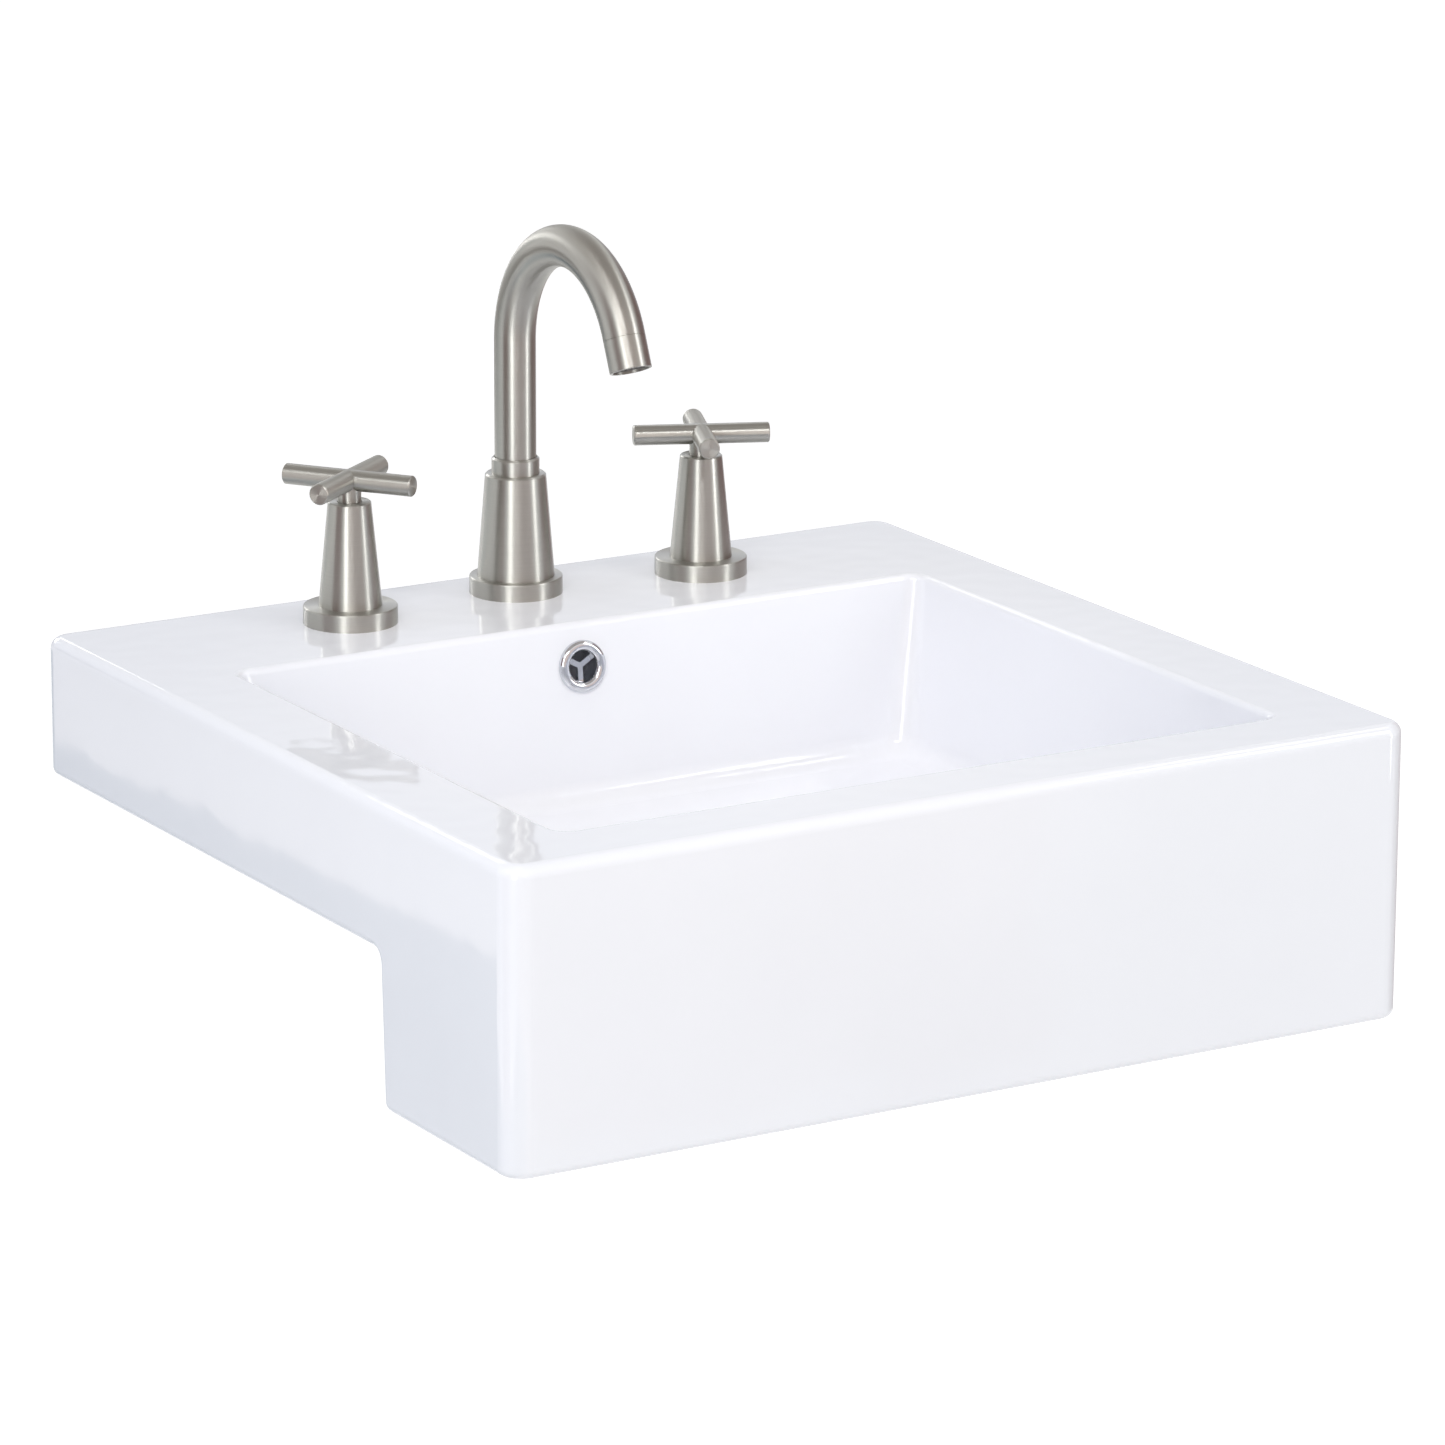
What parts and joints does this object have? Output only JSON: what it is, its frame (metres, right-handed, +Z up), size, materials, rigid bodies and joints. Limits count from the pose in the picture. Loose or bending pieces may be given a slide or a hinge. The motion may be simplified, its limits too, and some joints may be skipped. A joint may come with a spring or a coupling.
{
  "type": "semi-recessed wash basin with faucet",
  "caption": "Rectangular semi-recessed china basin with a deep front block, a gooseneck swivel spout, cross handles, an overflow ring and a push-top drain.",
  "frame": {"origin": "where the drain's centre line meets the counter top plane that the basin rests on", "axes": "+X to the right for the user, +Y towards the wall, +Z up"},
  "size_m": [0.491, 0.4755, 0.4092],
  "materials": {
    "vitreous_china": "glossy white glaze",
    "brushed_nickel": "brushed nickel plate on brass",
    "polished_chrome": "polished chrome plate on brass",
    "raw_brass": "machined, unplated",
    "black_rubber": "moulded",
    "stainless_steel": "stamped and turned",
    "white_plastic": "moulded",
    "disc_ceramic": "lapped flat"
  },
  "bodies": {
    "basin": {"basin_body": "vitreous_china", "cold_cartridge": "raw_brass", "cold_cone_cover": "brushed_nickel", "cold_deck_gasket": "black_rubber", "cold_deck_washer": "stainless_steel", "cold_fixed_disc": "disc_ceramic", "cold_flange": "brushed_nickel", "cold_flange_gasket": "black_rubber", "cold_lock_nut": "raw_brass", "cold_seat_seal": "black_rubber", "cold_valve_body": "raw_brass", "drain_body": "polished_chrome", "drain_gasket": "black_rubber", "drain_nut": "raw_brass", "drain_seal": "black_rubber", "drain_slip_washer": "white_plastic", "hose_tee": "raw_brass", "hot_cartridge": "raw_brass", "hot_cone_cover": "brushed_nickel", "hot_deck_gasket": "black_rubber", "hot_deck_washer": "stainless_steel", "hot_fixed_disc": "disc_ceramic", "hot_flange": "brushed_nickel", "hot_flange_gasket": "black_rubber", "hot_lock_nut": "raw_brass", "hot_seat_seal": "black_rubber", "hot_valve_body": "raw_brass", "latch_housing": "white_plastic", "overflow_ring": "polished_chrome", "spout_base": "brushed_nickel", "spout_collar": "brushed_nickel", "spout_deck_gasket": "black_rubber", "spout_deck_washer": "stainless_steel", "spout_flange": "brushed_nickel", "spout_flange_gasket": "black_rubber", "spout_lock_nut": "raw_brass", "spout_shank": "raw_brass", "tailpiece": "raw_brass"},
    "hot_handle": {"hot_cross_handle": "brushed_nickel", "hot_stem": "raw_brass", "hot_moving_disc": "disc_ceramic", "hot_set_screw": "stainless_steel"},
    "cold_handle": {"cold_cross_handle": "brushed_nickel", "cold_stem": "raw_brass", "cold_moving_disc": "disc_ceramic", "cold_set_screw": "stainless_steel"},
    "spout": {"spout_tube": "brushed_nickel", "spout_spigot": "raw_brass", "spout_o_rings": "black_rubber", "aerator_shell": "brushed_nickel", "aerator_washer": "black_rubber", "aerator_core": "white_plastic"},
    "stopper": {"stopper_cap": "polished_chrome", "stopper_plunger": "stainless_steel", "stopper_seal": "black_rubber"}
  },
  "joints": [
    {"name": "hot_handle_turn", "type": "hinge", "parent": "basin", "child": "hot_handle", "pos_m": [-0.1016, 0.2185, 0.1438], "axis": [0, 0, 1], "range_deg": [0, 90]},
    {"name": "cold_handle_turn", "type": "hinge", "parent": "basin", "child": "cold_handle", "pos_m": [0.1016, 0.2185, 0.1438], "axis": [0, 0, 1], "range_deg": [-90, 0]},
    {"name": "spout_swivel", "type": "hinge", "parent": "basin", "child": "spout", "pos_m": [0, 0.231, 0.133], "axis": [0, 0, 1], "range_deg": [-60, 60]},
    {"name": "stopper_slide", "type": "slide", "parent": "basin", "child": "stopper", "axis": [0, 0, 1], "range_m": [0, 0.008]}
  ]
}
